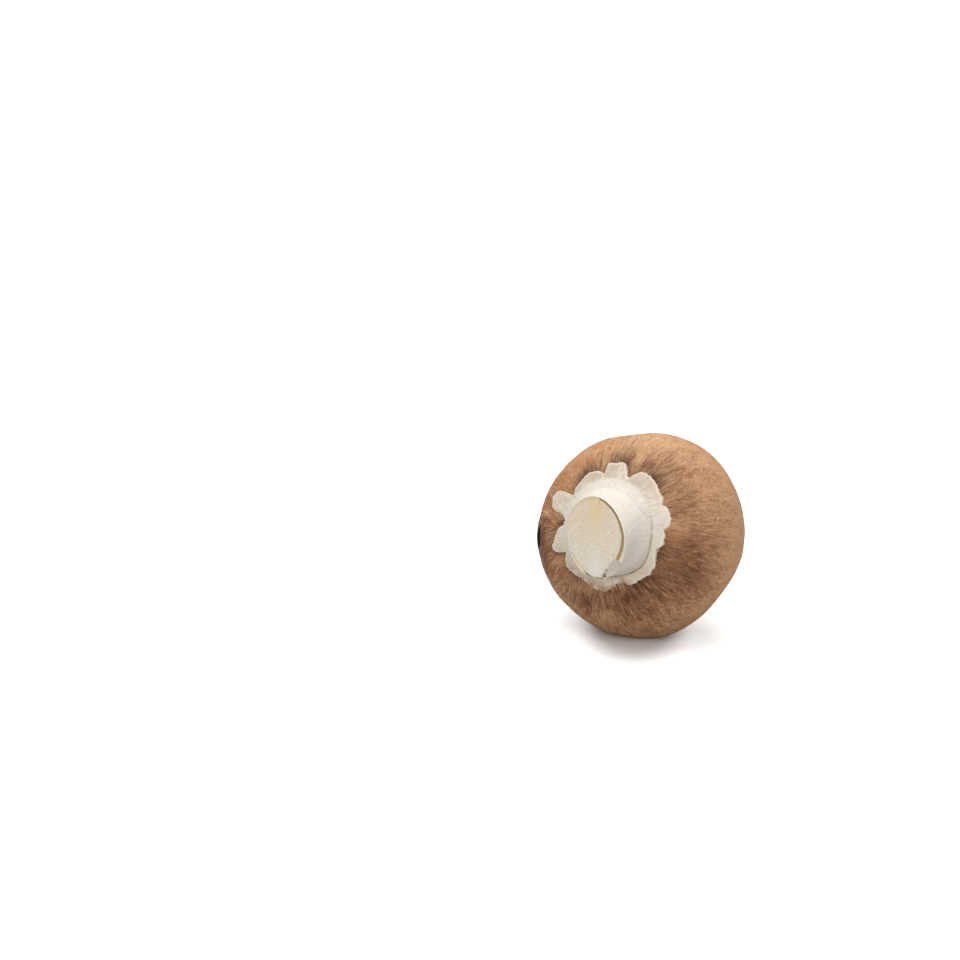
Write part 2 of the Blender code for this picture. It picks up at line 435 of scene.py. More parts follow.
skinLook = {  # linear colours
    "pale": (0.7, 0.445, 0.255),  # raised, dried fibre ends
    "tan": (0.56, 0.315, 0.163),  # bare skin
    "brown": (0.31, 0.142, 0.071),  # fibres
    "deep": (0.15, 0.061, 0.028),  # dense fibres
    "dark": (0.085, 0.034, 0.014),  # dark fibre roots beside the veil, deepened by painted shade under the veil's rim
    "rust": (0.52, 0.205, 0.07),  # warm patches
    "gap": (0.021, 0.008, 0.004),  # painted shadow deep in the gap under the flap
    "roughness": 0.66, "roughVariation": 0.24, "bump": (0.55, 0.16),  # bump: strength, millimetres
    "broad": 0.18, "thin": 0.55, "fine": 0.45, "fibreMiddle": 0.58,  # shares of the streaks
    "fibreOnDome": 0.37, "fibreAtMargin": 0.48, "cloudy": 0.6, "grainy": 1.2, "dappled": 0.5,
    "toneShare": 0.28, "ridgeShare": 0.3, "rustShare": 0.8, "speckShare": 0.35,
    "shader": {"Subsurface Weight": 0.06, "Subsurface Radius": (1.0, 0.5, 0.25),
               "Subsurface Scale": 0.7 * mm, "Specular IOR Level": 0.22},
}


def skinMaterial():
    # brownness adds up streaks, patches, grain, painted light on the ribs and the painted shade; colours
    # follow it from pale to deep, then rust, specks, the dark roots beside the veil, deepened by painted
    # shade under its rim, and the painted shadow in the gap lie over them
    look = skinLook
    material, tree = newMaterial("brownSkin", look)
    place = field(tree, "fibre", "Vector")
    broad = useGroup(tree, strands, Place=place, Width=0.75, Length=3.0, Seed=3.0)
    thin = useGroup(tree, strands, Place=place, Width=0.27, Length=1.3, Seed=11.0)
    blotch = useGroup(tree, mottle, Size=4.5, Speck=0.45, Seed=5.0)
    dapple = useGroup(tree, mottle, Size=0.9, Speck=0.34, Seed=17.0)
    margin, lively = field(tree, "margin"), field(tree, "lively")

    fibres = broad["Coarse"].eased(0.3, 0.7) * look["broad"]
    fibres += thin["Coarse"].eased(0.36, 0.64) * look["thin"] + thin["Fine"].eased(0.34, 0.66) * look["fine"]
    fibres = (fibres - look["fibreMiddle"]) * (margin * look["fibreAtMargin"] + look["fibreOnDome"])
    grain = (dapple["Grain"] - 0.5) * look["grainy"] + (dapple["Patches"] - 0.5) * look["dappled"]
    # painted light on the relief: raised ribs and puckers lighter, their hollows browner
    brownness = (fibres + grain - field(tree, "ridge") * look["ridgeShare"]) * lively
    brownness += (blotch["Patches"] - 0.5) * look["cloudy"] + field(tree, "shade")
    brownness -= field(tree, "tone") * look["toneShare"]

    # painted shadow deep in the gap under the flap, which is also made fully rough there
    gap = (thin["Coarse"] * 0.8 + field(tree, "slit")).eased(0.7, 1.9, 1.0, 0.0)
    colour = layered(tree, look, "pale", [
        ("tan", brownness.eased(-0.8, 0.0)),
        ("brown", brownness.eased(-0.1, 0.75)),
        ("deep", brownness.eased(0.6, 1.4)),
        ("rust", field(tree, "rust") * blotch["Patches"].eased(0.35, 0.65) * look["rustShare"]),
        ("brown", blotch["Specks"] * look["speckShare"]),
        # dark fibre roots beside the veil, partly painted shade under its rim
        ("dark", field(tree, "edge") * thin["Coarse"].eased(0.3, 0.62, 0.65, 1.0)),
        ("gap", gap),
    ])
    rough = (blotch["Grain"] - 0.5) * look["roughVariation"] + look["roughness"]
    height = (thin["Fine"] * 0.6 + broad["Fine"] * 0.5) * (margin * 0.75 + 0.25) + blotch["Grain"] * 0.5
    finishMaterial(tree, colour, rough.math("MAXIMUM", gap), height, look["bump"])
    return material


# White and cream flesh

fleshLook = {
    "white": (0.855, 0.797, 0.722),  # flank of the stem
    "melt": (0.815, 0.75, 0.66),  # veil where it flows into the stem
    "cream": (0.765, 0.675, 0.525),  # veil
    "ivory": (0.85, 0.765, 0.62),  # raised rims of the lobes
    "greyAndShade": (0.56, 0.465, 0.365),  # greyer flesh, and the painted shade on the flank beside the crease and over the chip
    "blush": (0.51, 0.415, 0.33),  # pinker, greyer veil, partly painted shade beside the crease
    "crease": (0.3, 0.255, 0.225),  # painted shade deep in the crease beside the stem
    "cut": (0.84, 0.77, 0.665),  # cut face
    "cutWarm": (0.82, 0.645, 0.37),  # warm patches of the cut
    "cutCool": (0.84, 0.8, 0.745),  # wet, cooler patch of the cut
    "ochre": (0.36, 0.245, 0.085),  # dried line on the cut
    "rim": (0.84, 0.73, 0.48),  # pale rim outside it
    "bark": (0.13, 0.075, 0.035),  # specks, nicks and dark lines, partly painted shade in the crevice inside the cut's rim
    "stain": (0.47, 0.265, 0.148),  # brown worn into the veil
    "roughness": 0.66, "roughVariation": 0.2,
    "veilBump": (0.5, 0.16), "stemBump": (0.4, 0.12),  # strength, millimetres
    "shader": {"Sheen Weight": 0.08, "Subsurface Weight": 0.22, "Subsurface Radius": (1.0, 0.75, 0.5),
               "Subsurface Scale": 0.45 * mm, "Specular IOR Level": 0.35},
}


def fleshRoughness(grain):
    # the roughness, varied by the grain round its middle of 0.5
    return (grain - 0.5) * fleshLook["roughVariation"] + fleshLook["roughness"]


def veilMaterial():
    # cream, whiter where it flows into the stem, greyed along threads and specks and inside the lobes, with
    # pale rims and stains, and painted shade in and beside the crease
    look = fleshLook
    material, tree = newMaterial("creamVeil", look)
    threads = useGroup(tree, strands, Place=field(tree, "fibre", "Vector"), Width=0.3, Length=2.2, Seed=7.0)
    blotch = useGroup(tree, mottle, Size=1.6, Speck=0.28, Seed=21.0)
    # greying along threads and specks, greyer inside the lobes, and painted shade beside the crease
    dusk = threads["Fine"].eased(0.35, 0.65) * 0.38 + blotch["Specks"] * 0.35 + field(tree, "greyerAndCreaseShade") * 0.85
    colour = layered(tree, look, "cream", [
        ("white", blotch["Patches"].eased(0.35, 0.7, 0.0, 0.35)),
        ("melt", field(tree, "white")),
        ("blush", dusk),
        ("ivory", field(tree, "rim") * 0.95),
        ("stain", field(tree, "stain") * threads["Coarse"].eased(0.35, 0.6, 0.65, 1.0)),
        # painted shade deep in the crease
        ("crease", field(tree, "crease")),
    ])
    height = blotch["Grain"] + threads["Fine"] * 0.7
    finishMaterial(tree, colour, fleshRoughness(blotch["Grain"]), height, look["veilBump"])
    return material


def stemMaterial():
    # a threaded white flank and a grainy cut face, with the dried line and the dark nicks over both, and
    # painted shade on the flank beside the crease and over the chip
    look = fleshLook
    material, tree = newMaterial("whiteFlesh", look)
    threads = useGroup(tree, strands, Place=field(tree, "fibre", "Vector"), Width=0.3, Length=5.0, Seed=7.0)
    blotch = useGroup(tree, mottle, Size=3.2, Speck=0.42, Seed=31.0)
    flank = layered(tree, look, "white", [
        ("greyAndShade", threads["Fine"].eased(0.36, 0.66, 0.0, 0.28)),
        ("greyAndShade", field(tree, "lined") * threads["Fine"].eased(0.46, 0.58)),
        # painted shade on the flank beside the crease and over the chip
        ("greyAndShade", field(tree, "dusk")),
        ("cream", blotch["Patches"].eased(0.4, 0.75, 0.0, 0.35)),
    ])
    face = layered(tree, look, "cut", [
        ("ivory", blotch["Patches"].eased(0.3, 0.7, 0.0, 0.5)),
        ("cutWarm", blotch["Grain"].eased(0.4, 0.66, 0.0, 0.6)),
        ("greyAndShade", threads["Fine"].eased(0.42, 0.62, 0.0, 0.36)),
        ("cutWarm", field(tree, "warm") * 0.85),
        ("cutCool", field(tree, "cool") * 0.8),
        ("rim", field(tree, "pale") * 0.8),
    ])
    colour = mixColour(tree, field(tree, "cut"), flank, face)
    for name in ("ochre", "bark"):
        colour = mixColour(tree, field(tree, name), colour, look[name])
    height = blotch["Grain"] * 0.7 + threads["Fine"]
    finishMaterial(tree, colour, fleshRoughness(blotch["Grain"]), height, look["stemBump"])
    return material


# Root of the stem and edge of the veil, which the other pieces follow

veilForm = {  # millimetres and degrees
    "edge": [  # round and radius of each corner and bend of the torn edge
        (0, 15), (4, 14.6), (6, 14.1), (14, 14.3), (22, 14.2), (26.5, 13.3), (30, 13.5), (43, 14.8),
        (49, 14.9), (57, 14.3), (69, 14.3), (72, 14), (75, 13.4), (80, 13.3), (90, 14), (94, 14.6),
        (99, 14.5), (106, 14.7), (112, 14.2), (123, 13.4), (136, 13.8), (142, 14), (148, 13.1),
        (153, 11.9), (157, 13.3), (160.5, 15), (164, 15.7), (168, 15.6), (169.5, 14.8), (176, 13.8),
        (181, 13.1), (185, 10.9), (192, 10.6), (196, 12.2), (197, 13.7), (198, 15.4), (200, 16.5),
        (207, 17.4), (212, 16.9), (215, 16), (217, 14.4), (219.5, 12.2), (222, 11.4), (228, 12.7),
        (238, 13.2), (248, 13.7), (257, 13.2), (262, 12.6), (266, 11.9), (267.5, 14.3), (272, 14.7),
        (285, 14.6), (289, 13.2), (294, 11.9), (298, 12.2), (300, 13.3), (303, 14.3), (308, 14.8),
        (318, 14.8), (328, 14.5), (340, 14.4), (342.5, 13.9), (348, 14.8), (356, 15.1),
    ],
    "leastWidth": 0.25, "meanRadius": 14,
    "ragged": [(0.17, 0.6, 41), (0.085, 0.6 / 2.3, 42), (0.153, 1.56, 43)],  # height, size, seed
    "rootLift": 0.95, "edgeLift": 0.31, "edgeUneven": [(0.12, 2.2, 64)], "puff": 0.14,
    "roll": 0.14, "rollFrom": 0.32, "rollWidth": 0.4,  # swelling just inside the edge
    "threads": [(0.035, (0.45, 0.45, 2.0), 61), (0.12, 1.6, 62), (0.05, 0.7, 66)], "threadsFrom": (0.1, 0.9),
    "crowding": 1.35, "thinning": 1.3,  # powers of the rows' places and of the way it thins out
    "upright": (-0.4, 2.0),  # from straight down beside the stem to square to the skin
    "sink": 0.25, "lip": 0.2,  # depth of the underside in the skin, radius of the rounded edge
    "creaseMiddle": 52, "creaseHalf": 42, "creaseFade": 26, "creaseWidth": 0.16, "creaseDepth": 0.4,
    "creasePlace": 0.15, "creaseBase": 0.55, "creaseBroken": [(0.45, (1.1, 1.1, 9.0), 65)],
    "shadePlace": 0.12, "shadeWidth": 0.2, "shadeDots": (0.7, 67, -0.3, 0.3),
    # shares of the painted crease shade: in the veil's greyer colour, and in the crease's own dark colour
    "creaseShadeShare": 0.9, "creaseDark": 1.3,
    "creaseShade": [(2, 0.2, 12), (24, 0.45, 10), (52, 0.9, 20), (82, 0.6, 12)],  # round, darkness, spread
    "soiled": [(105, 1.25, 24), (76, 1, 8), (90, 0.5, 10), (135, 1, 12), (222, 0.6, 4), (262, 0.3, 30),
               (312, 0.25, 22)],
    "dusky": [(230, 0.45, 18), (254, 0.75, 16), (274, 0.7, 14), (305, 0.65, 24), (45, 0.3, 20)],  # greyer
    "bright": [(2, 0.95, 24), (342, 0.4, 12), (30, 0.5, 14)],  # whiter
    "duskyFromEdge": (0.15, 0.8), "duskyFromRoot": (0.0, 0.9), "whiteToRoot": (0.0, 1.2), "rimWidth": 0.5,
    "stainPatches": (1.0, 63, -0.45, 0.1), "stainReach": 1.7, "stainRim": 0.35,
    "tuck": 0.55, "hide": (0.2, 0.45),  # how far the inner end runs into the stem, and over what width
    "sweep": 3.2, "sweepShare": 0.7,  # how high the veil sweeps up the stem, and its share of the flank
    "leastBlend": 0.12, "blend": 1.8, "flankClear": 0.02,  # how widely it flows into the stem
    "lowest": -0.6,  # where the search for the stem's side starts, as a share of the stem
    "columns": 900, "topRows": 44, "lipRows": 7, "baseRows": 5,
}


def rootRadius(angle):
    # a circle with its middle shifted, and a bell-shaped bulge on one side
    bulge = form["rootBulge"] * roundBell(angle, form["bulgeRound"], form["bulgeSpread"])
    return form["rootRadius"] + sideways(angle, form["rootShift"]) + bulge


def veilEdge(angle):
    # the measured edge, joined by straight pieces round the circle, with small waves
    turn, radius = np.array(veilForm["edge"]).T
    edge = np.interp(np.degrees(angle) % 360, turn, radius, period=360)
    edge = edge + waves(polar(veilForm["meanRadius"], angle, 0), veilForm["ragged"])
    return np.maximum(edge, rootRadius(angle) + veilForm["leastWidth"])


# Cap

capForm = {  # millimetres and degrees
    "columns": 480, "rings": 200, "crowding": 0.85,
    "uneven": [(0.1, 7.0, 1), (0.05, 2.8, 2)],  # height, size and seed of soft unevenness
    "ribs": [(0.055, (0.9, 0.9, 3.0), 3), (0.03, (0.5, 0.5, 1.6), 4)],  # longest along the fibres
    "puckers": (0.14, (0.7, 0.7, 2.4), 6), "puckerTop": 0.6, "puckerReach": 6.0,  # ridges from the veil
    "puckerShare": [(255, 1.0, 45), (318, 0.35, 25), (75, 0.95, 40), (140, 0.6, 30)],  # round, share, spread
    "pits": (0.05, (1.2, 5, 0.35, 0.75)), "furrow": (0.12, 1.0),  # dents of the dome, dip beside the veil
    "marginStart": 64, "marginEnd": 114, "wander": 0.025, "wanderSize": 3.5,
    "wave": (0.45, 1.2), "waveShare": (0.35, 1.2),  # height and size where curly, limits of its share
    "curly": [(336, 118, 1.0, 18), (312, 106, 0.6, 12), (78, 106, 0.6, 22), (40, 110, 0.5, 14)],
    "cleft": [  # round, down and half width in degrees of the gap under the flap, where its shadow is painted
        (168, 112, 0.2), (173, 112.5, 1.4), (177, 113, 4), (181, 113.5, 5), (184, 115, 4.2),
        (187, 118, 2.6), (191, 122, 1), (196, 125, 0.2),
    ],
    "cleftEnd": 0.8, "cleftFar": 6,  # how fast it ends, and what counts as clear of it
    "onDome": 12.0, "ridgeScale": 10,  # distance from the veil given on the dome; ridges for the material's painted light on the relief
    "shade": [  # round, down, how much browner, spread
        # mostly browner patches of skin; the rows from 160° to 205° round are painted shade on the left
        # side, and those at 186.5° and 188° the painted shadow in the hollow under the flap
        (40, 130, 0.7, 20), (33, 114, 0.5, 14), (12, 124, 0.15, 14), (10, 125, 0.22, 7),
        (301, 137, 0.6, 4.5), (114, 132, 0.95, 5.5), (75, 130, 0.6, 16), (104, 137, 0.28, 4),
        (74, 137, 0.6, 4), (125, 133, 0.06, 9), (141, 136, 0.2, 8), (97, 126, -0.35, 6),
        (82, 125, -0.15, 5), (90, 130, 0.6, 9), (88, 120, 0.2, 12), (115, 124, 0.45, 9),
        (129, 124, 0.3, 7), (150, 128, 0.3, 18), (182, 122, 0.62, 14), (185, 108, 0.35, 10),
        (205, 118, 0.25, 14), (180, 127, 0.45, 7), (169, 126, 0.6, 9), (160, 122, 0.25, 10),
        (186.5, 131, 0.7, 2.6), (188, 139, 0.4, 3.5), (270, 122, -0.2, 24), (255, 132, 0.2, 12),
        (247, 128, -0.2, 8), (17, 130, 0.28, 9), (300, 108, -0.15, 22), (250, 132, -0.25, 8),
        (345, 130, 0.4, 10), (345, 140, 0.35, 5), (330, 112, 0.1, 12), (233, 108, -0.15, 12),
        (219, 128, 0.2, 8), (20, 133, 0.3, 7), (305, 127, 0.3, 8), (60, 80, 0.1, 22), (0, 106, 0.2, 16),
        (85, 104, 0.12, 12), (200, 60, 0.12, 26), (100, 45, -0.18, 30), (330, 40, -0.14, 30),
        (30, 8, 0.22, 20), (260, 62, 0.18, 14), (150, 66, 0.2, 16), (215, 30, -0.12, 14),
        (322, 126, 0.25, 12),
    ],
    "rust": [  # round, down, how much warmer, spread
        (220, 128, 0.9, 16), (255, 128, 0.55, 16), (95, 112, 0.45, 14), (8, 138, 0.4, 8),
        (24, 138, 0.5, 7), (216, 116, 0.45, 14), (190, 128, 0.6, 12), (150, 138, 0.5, 10),
        (170, 70, 0.6, 26), (40, 60, 0.45, 24), (300, 66, 0.5, 22),
    ],
    "lively": [  # round, down, how much stronger the fibres' pattern, spread
        (0, 112, -0.34, 24), (32, 108, -0.25, 18), (335, 108, -0.12, 18), (95, 106, 0.4, 22),
        (130, 112, 0.3, 20), (270, 108, 0.25, 26),
    ],
    "edgeWidth": 3.0,  # reach of the dark fibre roots beside the veil, with their painted shade under its rim
    "edgeShare": [  # round, share of that darkness, spread
        (28, 1, 16), (60, 1, 20), (97, 0.36, 20), (130, 0.72, 18), (165, 0.65, 20), (190, 0.65, 14),
        (242, 1.05, 24), (283, 1, 26), (318, 1.05, 20), (350, 0.35, 14),
    ],
}


def fibrePlace(angle, down):
    # a place where fibres run along the third number: a circle as wide as the cap is there, and the way
    # down the meridian, both warped widely so that fibres wander, and finely where they are curly
    around = toward(angle, down)
    height, size = capForm["wave"]
    least, most = capForm["waveShare"]
    height = height * np.clip(least + spots(angle, down, capForm["curly"]), 0, most)
    fine = around * form["capRadius"] / size
    warped = angle + capForm["wander"] * cloud(around * capForm["wanderSize"], 51)
    warped = warped + height / form["capRadius"] * cloud(fine, 52)
    radius = form["capRadius"] * np.where(down < pi / 2, np.sin(down), 1.0)
    return polar(radius, warped, down * meridian + height * cloud(fine, 53))


def cleftAcross(angle, down):
    # distance across the gap under the flap, in half widths; large beyond its ends
    turn, line, half = np.radians(np.array(capForm["cleft"])).T
    flat = np.mod(angle, 2 * pi)
    past = np.maximum(np.maximum(turn[0] - flat, flat - turn[-1]), 0) / radians(capForm["cleftEnd"])
    across = np.abs(down - np.interp(flat, turn, line)) / np.interp(flat, turn, half)
    return np.clip(across + past, 0, capForm["cleftFar"])


def beyondVeil(angle, down):
    # millimetres from the veil's edge outwards along the underside, large on the dome
    return np.where(down > pi / 2, capRadiusAt(angle) * np.sin(down) - veilEdge(angle), capForm["onDome"])


def marginShare(down):
    # 0 on the dome, 1 at the margin, and an S-curve between
    return ease(down, radians(capForm["marginStart"]), radians(capForm["marginEnd"]))


def ribsAndPuckers(angle, down):
    # ribs along the fibres near the margin, and stronger ridges that run out from the veil in places
    place = fibrePlace(angle, down)
    height, size, seed = capForm["puckers"]
    share = bell(beyondVeil(angle, down), capForm["puckerReach"], 4)
    share = share * shareRound(angle, capForm["puckerShare"])
    ridges = capForm["puckerTop"] - 2 * np.abs(cloud(place / np.array(size), seed))
    return marginShare(down) * waves(place, capForm["ribs"]) + height * share * ridges


def skinRelief(angle, down):
    # soft unevenness all over, ribs and puckers, small dents on the dome, and a furrow beside the veil
    angle, down = np.broadcast_arrays(angle, down)
    around = toward(angle, down) * form["capRadius"]
    depth, shape = capForm["pits"]
    dents = depth * (1 - marginShare(down)) * patches(around, *shape)
    depth, width = capForm["furrow"]
    dents = dents + depth * bell(np.maximum(beyondVeil(angle, down), 0), width)
    return ribsAndPuckers(angle, down) + waves(around, capForm["uneven"]) - dents


def skinFields(angle, down, tone):
    # what the skin's material reads at each point
    angle, down, tone = np.broadcast_arrays(angle, down, tone)
    # dark fibre roots beside the veil, partly painted shade under the veil's rim
    rootsAndShade = bell(np.maximum(beyondVeil(angle, down), 0), capForm["edgeWidth"], 1.5)
    return {
        "fibre": fibrePlace(angle, down), "margin": marginShare(down), "tone": tone,
        "lively": 1 + spots(angle, down, capForm["lively"]), "shade": spots(angle, down, capForm["shade"]),
        "rust": np.clip(spots(angle, down, capForm["rust"]), 0, 1), "slit": cleftAcross(angle, down),
        "edge": shareRound(angle, capForm["edgeShare"]) * rootsAndShade,
        "ridge": ribsAndPuckers(angle, down) * capForm["ridgeScale"],
    }


def flattenOnFloor(points):
    # nothing lies under the floor: what would is moved up to it, as skin that gives a little
    upright = np.array((0.0, 0.0, 1.0)) @ lie
    height = points @ upright + middle[2] / mm
    return points + np.maximum(-height, 0)[:, None] * upright


def makeCap(material):
    # rings down the dome and under it, then the mouth and the floor of the seat for the stem's root
    look = capForm
    ring = ringAngles(look["columns"])
    share = np.linspace(0, 1, look["rings"] + 1)[1:, None]
    angle, down = np.broadcast_arrays(ring, radians(form["skinEnd"]) * share ** look["crowding"])
    skin = capPoint(angle, down, skinRelief(angle, down)).reshape(-1, 3)
    mouth = rootRadius(ring) + form["gap"]
    mouthDown = downAtRadius(ring, mouth)
    floorLevel = form["rootLevel"] + form["plugNeck"] + form["plugDepth"] + form["gap"]
    floorRing = polar(mouth - form["plugTaper"], ring, floorLevel)
    tips = [capPoint(0.0, 0.0, skinRelief(0.0, 0.0)), (0, 0, floorLevel)]
    points = flattenOnFloor(np.concatenate((skin, capPoint(ring, mouthDown), floorRing, tips)))
    fields = skinFields(np.concatenate((angle.ravel(), ring, ring, (0, 0))),
                        np.concatenate((down.ravel(), mouthDown, mouthDown, (0, pi))), 0.0)
    faces = tubeFaces(look["rings"] + 2, look["columns"])
    makePiece("cap_skin", points, faces, fields, material, ["cap"])


# Fibres lying on the skin

fibreForm = {  # millimetres
    "blunt": 0.7, "sunk": 0.04,  # power of the taper, depth of the base in the skin
    "leastSine": 0.12, "clearance": 0.9,  # limit near the top, least height over what the cap lies on
}


def makeFibres(name, material, slot, start, size, heading, tone, keep=slice(None), extra=None, rings=7):
    # each fibre is a spindle: a bent line over the skin, with a three-cornered section that is
    # widest and highest in its middle and runs out to a point at both ends, its base sunk in the skin
    angle, down, length, width, height, turn, bend, tone = [
        part[keep][:, None] for part in (*start, *size, *heading, tone)]
    count = len(angle)
    share = np.linspace(0, 1, rings + 2)[None, :]
    direction = turn + bend * (share - 0.5)
    step = length / (rings + 1)
    outward = np.cumsum(np.cos(direction) * step, axis=1) - np.cos(direction) * step
    aside = np.cumsum(np.sin(direction) * step, axis=1) - np.sin(direction) * step
    lineDown = down - outward / meridian
    lineRound = angle + aside / (form["capRadius"] * np.maximum(np.sin(lineDown), fibreForm["leastSine"]))
    base = capPoint(lineRound, lineDown, skinRelief(lineRound, lineDown))
    normal = capNormal(lineRound, lineDown)
    side = unit(np.cross(np.gradient(base, axis=1), normal))
    taper = np.sin(pi * share) ** fibreForm["blunt"]
    half = (width / 2 * taper)[..., None]
    crest = (height * taper)[..., None]
    sunk = base - normal * fibreForm["sunk"]
    section = np.stack((sunk - side * half, base + normal * crest, sunk + side * half), axis=2)
    points = np.concatenate((section[:, 1:-1].reshape(count, -1, 3), sunk[:, :1], sunk[:, -1:]), axis=1)
    block = rings * 3 + 2
    offset = (np.arange(count) * block)[:, None, None]
    tube, *tips = tubeFaces(rings, 3)
    faces = [(part + offset).reshape(-1, part.shape[1]) for part in (tube, np.concatenate(tips))]

    def perPoint(values):
        # three times for each ring between the tips, then once for each tip
        return np.concatenate((np.repeat(values[:, 1:-1], 3, axis=1), values[:, :1], values[:, -1:]), axis=1)

    fields = skinFields(perPoint(lineRound), perPoint(lineDown), tone)
    fields.update({label: np.repeat(values[keep], block) for label, values in (extra or {}).items()})
    makePiece(name, flattenOnFloor(points.reshape(-1, 3)), faces, fields, material)


marginFibres = {  # sizes in millimetres, spread and bend in degrees
    "count": 3600, "start": -0.1, "reach": 15.0, "crowding": 1.25, "tone": (0.05, 0.45),
    "rootTone": (0.5, 3.5), "length": (0.8, 2.8), "shortness": 1.4, "width": (0.14, 0.36),
    "height": (0.01, 0.035), "spread": 9, "bend": 20,
}
domeFibres = {
    "count": 3000, "lowest": -0.45, "highest": 0.985, "tone": (-0.15, 0.55), "loose": (5, 20, 60),
    "length": (0.5, 1.6), "shortness": 1.3, "width": (0.12, 0.26), "height": (0.006, 0.016),
    "spread": 26, "bend": 40,
}
curls = {
    "count": 460, "tone": (0.2, 2.2), "length": (0.9, 2.4), "width": (0.2, 0.44), "height": (0.05, 0.13),
    "spread": 45, "bend": 110, "leastBend": 0.35, "nicks": 0.08,  # share that are short dark nicks
    "nickTone": -3.4, "nickLength": 0.35, "nickHeight": 0.3, "leastSine": 0.3, "offVeil": 1.0,
    "places": [  # round, down, spread, share of the curls
        (334, 122, 11, 0.44), (343, 114, 8, 0.14), (312, 106, 9, 0.1), (75, 110, 22, 0.22),
        (45, 112, 12, 0.1), (185, 121, 7, 0.06), (10, 112, 10, 0.04),
    ],
}


def between(draw, low, high, count, power=1.0):
    # random numbers from low to high, crowded towards low by a power over 1
    return low + (high - low) * draw.random(count) ** power


def drawSize(draw, look):
    # lengths, widths and heights between their limits, more of them short with a higher shortness
    length = between(draw, *look["length"], look["count"], look.get("shortness", 1.0))
    return length, *[between(draw, *look[key], look["count"]) for key in ("width", "height")]


def drawHeading(draw, look):
    # how far each fibre is turned from the way to the top, and how far it bends
    return [draw.normal(0, radians(look[key]), look["count"]) for key in ("spread", "bend")]


def clearOfFloor(angle, down):
    # only where the skin stands well clear of what it lies on
    return (capPoint(angle, down) @ lie.T)[:, 2] + middle[2] / mm > fibreForm["clearance"]


def makeMarginFibres(material):
    # crowded towards the veil, and darker there
    look = marginFibres
    draw = np.random.default_rng(7)
    angle = draw.random(look["count"]) * 2 * pi
    distance = look["start"] + look["reach"] * draw.random(look["count"]) ** look["crowding"]
    down = downAtRadius(angle, veilEdge(angle)) - distance / meridian
    darker, fade = look["rootTone"]
    tone = draw.normal(*look["tone"], look["count"]) - darker * np.exp(-np.maximum(distance, 0) / fade)
    makeFibres("margin_fibres", material, "brown_skin", (angle, down), drawSize(draw, look),
               drawHeading(draw, look), tone, clearOfFloor(angle, down))


def makeDomeFibres(material):
    # even over the dome, from its lowest to its highest cosine, and turned any way near the top
    look = domeFibres
    draw = np.random.default_rng(8)
    down = np.arccos(between(draw, look["lowest"], look["highest"], look["count"]))
    angle = draw.random(look["count"]) * 2 * pi
    tone = draw.normal(*look["tone"], look["count"])
    size = drawSize(draw, look)
    turn, bend = drawHeading(draw, look)
    more, near, far = look["loose"]
    turn = turn * (1 + more * (1 - ease(down, radians(near), radians(far))))
    makeFibres("dome_fibres", material, "brown_skin", (angle, down), size, (turn, bend), tone,
               clearOfFloor(angle, down))


def makeCurls(material):
    # strongly bent fibres in round patches, some of them short, low and dark
    look = curls
    count = look["count"]
    draw = np.random.default_rng(9)
    places = np.array(look["places"])
    pick = draw.choice(len(places), count, p=places[:, 3] / places[:, 3].sum())
    middleRound, middleDown, spread = np.radians(places[pick, :3]).T
    down = middleDown + draw.normal(0, 1, count) * spread
    angle = middleRound + draw.normal(0, 1, count) * spread / np.maximum(np.sin(down), look["leastSine"])
    length, width, height = drawSize(draw, look)
    turn = draw.normal(0, radians(look["spread"]), count)
    bend = draw.choice((-1, 1), count) * radians(look["bend"]) * between(draw, look["leastBend"], 1.0, count)
    nick = draw.random(count) < look["nicks"]
    tone = np.where(nick, look["nickTone"], between(draw, *look["tone"], count))
    length = length * np.where(nick, look["nickLength"], 1)
    height = height * np.where(nick, look["nickHeight"], 1)
    keep = clearOfFloor(angle, down) & (beyondVeil(angle, down) > look["offVeil"])
    makeFibres("skin_curls", material, "brown_skin", (angle, down), (length, width, height), (turn, bend),
               tone, keep)


# Stem

